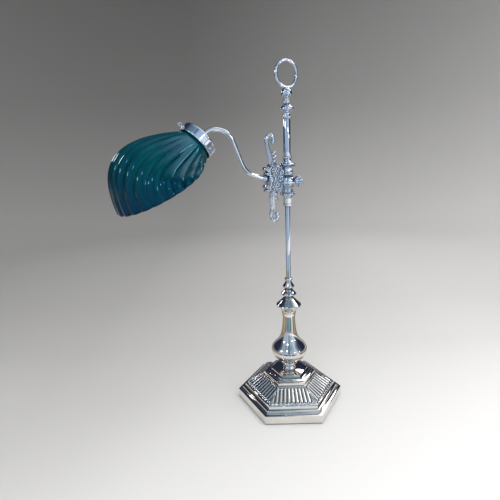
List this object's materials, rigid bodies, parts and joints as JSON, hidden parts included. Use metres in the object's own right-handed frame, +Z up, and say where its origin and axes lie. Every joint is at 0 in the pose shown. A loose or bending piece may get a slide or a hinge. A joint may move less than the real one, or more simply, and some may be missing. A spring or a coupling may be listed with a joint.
{
  "type": "desk lamp",
  "caption": "Plated desk lamp with a hexagonal reeded base, a turned stem and a sliding, swivelling head that carries a swan-neck arm and a ribbed teal glass shell shade.",
  "frame": {"origin": "centre of the base's felt underside, on the rod's axis", "axes": "+Z up along the rod; the arm and shade point along -X and the clamp screw along +X; the base's flat sides face -X and +X"},
  "size_m": [0.3773, 0.2, 0.6074],
  "materials": {
    "plated_head": "polished plate, bright",
    "plated_base": "polished plate, warm",
    "steel": "turned",
    "iron": "as cast",
    "felt": "baize",
    "brass": "turned",
    "shade_glass": "cased glass, glossy",
    "bulb_glass": "clear",
    "filament": "fine wire",
    "insulator": "moulded, dark brown"
  },
  "bodies": {
    "base": {"base_casting": "plated_base", "base_weight": "iron", "base_plate": "steel", "base_pad": "felt", "plate_screws": "steel", "tie_rod": "steel", "tie_washer": "steel", "tie_nut": "steel", "foot_collar": "plated_base", "stem_vase": "plated_base", "disc_knop": "plated_base", "middle_bead": "plated_base", "upper_bead": "plated_base", "rod_socket": "plated_base", "lower_rod": "plated_head"},
    "slider": {"slide_bush": "plated_head"},
    "head": {"bracket_casting": "plated_head", "escutcheon": "plated_head", "rosettes": "plated_head", "upper_scroll": "plated_head", "lower_scroll": "plated_head", "cord_bush": "insulator", "arm_tube": "plated_head", "arm_ferrule": "plated_head", "arm_grub_screw": "steel", "upper_tube": "plated_head", "tube_collar": "plated_head", "finial_stud": "steel", "finial_knop": "plated_head", "finial_ball": "plated_head", "carry_ring": "plated_head", "gallery": "plated_head", "gallery_nut": "brass", "holder_barrel": "brass", "holder_ring": "insulator", "holder_insulator": "insulator"},
    "shoe": {"clamp_shoe": "brass"},
    "clamp_knob": {"thumb_screw": "plated_head"},
    "shade_screw_1": {"gallery_screw_1": "plated_head"},
    "shade_screw_2": {"gallery_screw_2": "plated_head"},
    "shade_screw_3": {"gallery_screw_3": "plated_head"},
    "contacts": {"contact_plungers": "brass"},
    "bulb": {"bulb_cap": "brass", "bulb_glass": "bulb_glass", "bulb_filament": "filament"},
    "shade": {"glass_shade": "shade_glass"}
  },
  "joints": [
    {"name": "head_height", "type": "slide", "parent": "base", "child": "slider", "axis": [0, 0, 1], "range_m": [-0.065, 0.02]},
    {"name": "head_swivel", "type": "hinge", "parent": "slider", "child": "head", "pos_m": [0, 0, 0.413], "axis": [0, 0, 1], "continuous": true},
    {"name": "clamp_travel", "type": "slide", "parent": "head", "child": "shoe", "axis": [1, 0, 0], "range_m": [0, 0.0016]},
    {"name": "clamp_turn", "type": "hinge", "parent": "shoe", "child": "clamp_knob", "pos_m": [0.0142, 0, 0.413], "axis": [1, 0, 0], "range_deg": [0, 720]},
    {"name": "shade_screw_1_turn", "type": "hinge", "parent": "head", "child": "shade_screw_1", "pos_m": [-0.18299, 0, 0.5049], "axis": [-0.6691, 0, 0.7431], "range_deg": [0, 540]},
    {"name": "shade_screw_2_turn", "type": "hinge", "parent": "head", "child": "shade_screw_2", "pos_m": [-0.15087, -0.02771, 0.46923], "axis": [0.3346, -0.866, -0.3716], "range_deg": [0, 540]},
    {"name": "shade_screw_3_turn", "type": "hinge", "parent": "head", "child": "shade_screw_3", "pos_m": [-0.15087, 0.02771, 0.46923], "axis": [0.3346, 0.866, -0.3716], "range_deg": [0, 540]},
    {"name": "shade_turn", "type": "hinge", "parent": "head", "child": "shade", "pos_m": [-0.16455, 0, 0.47844], "axis": [-0.7431, 0, -0.6691], "continuous": true},
    {"name": "bulb_push", "type": "slide", "parent": "head", "child": "contacts", "axis": [0.7431, 0, 0.6691], "range_m": [0, 0.0025], "stiffness_N_per_m": 400},
    {"name": "bulb_twist", "type": "hinge", "parent": "contacts", "child": "bulb", "pos_m": [-0.16455, 0, 0.47844], "axis": [0.7431, 0, 0.6691], "range_deg": [0, 20]}
  ],
  "couplings": [
    {"joint": "clamp_turn", "follows": "clamp_travel", "rad_per_m": 7854}
  ]
}
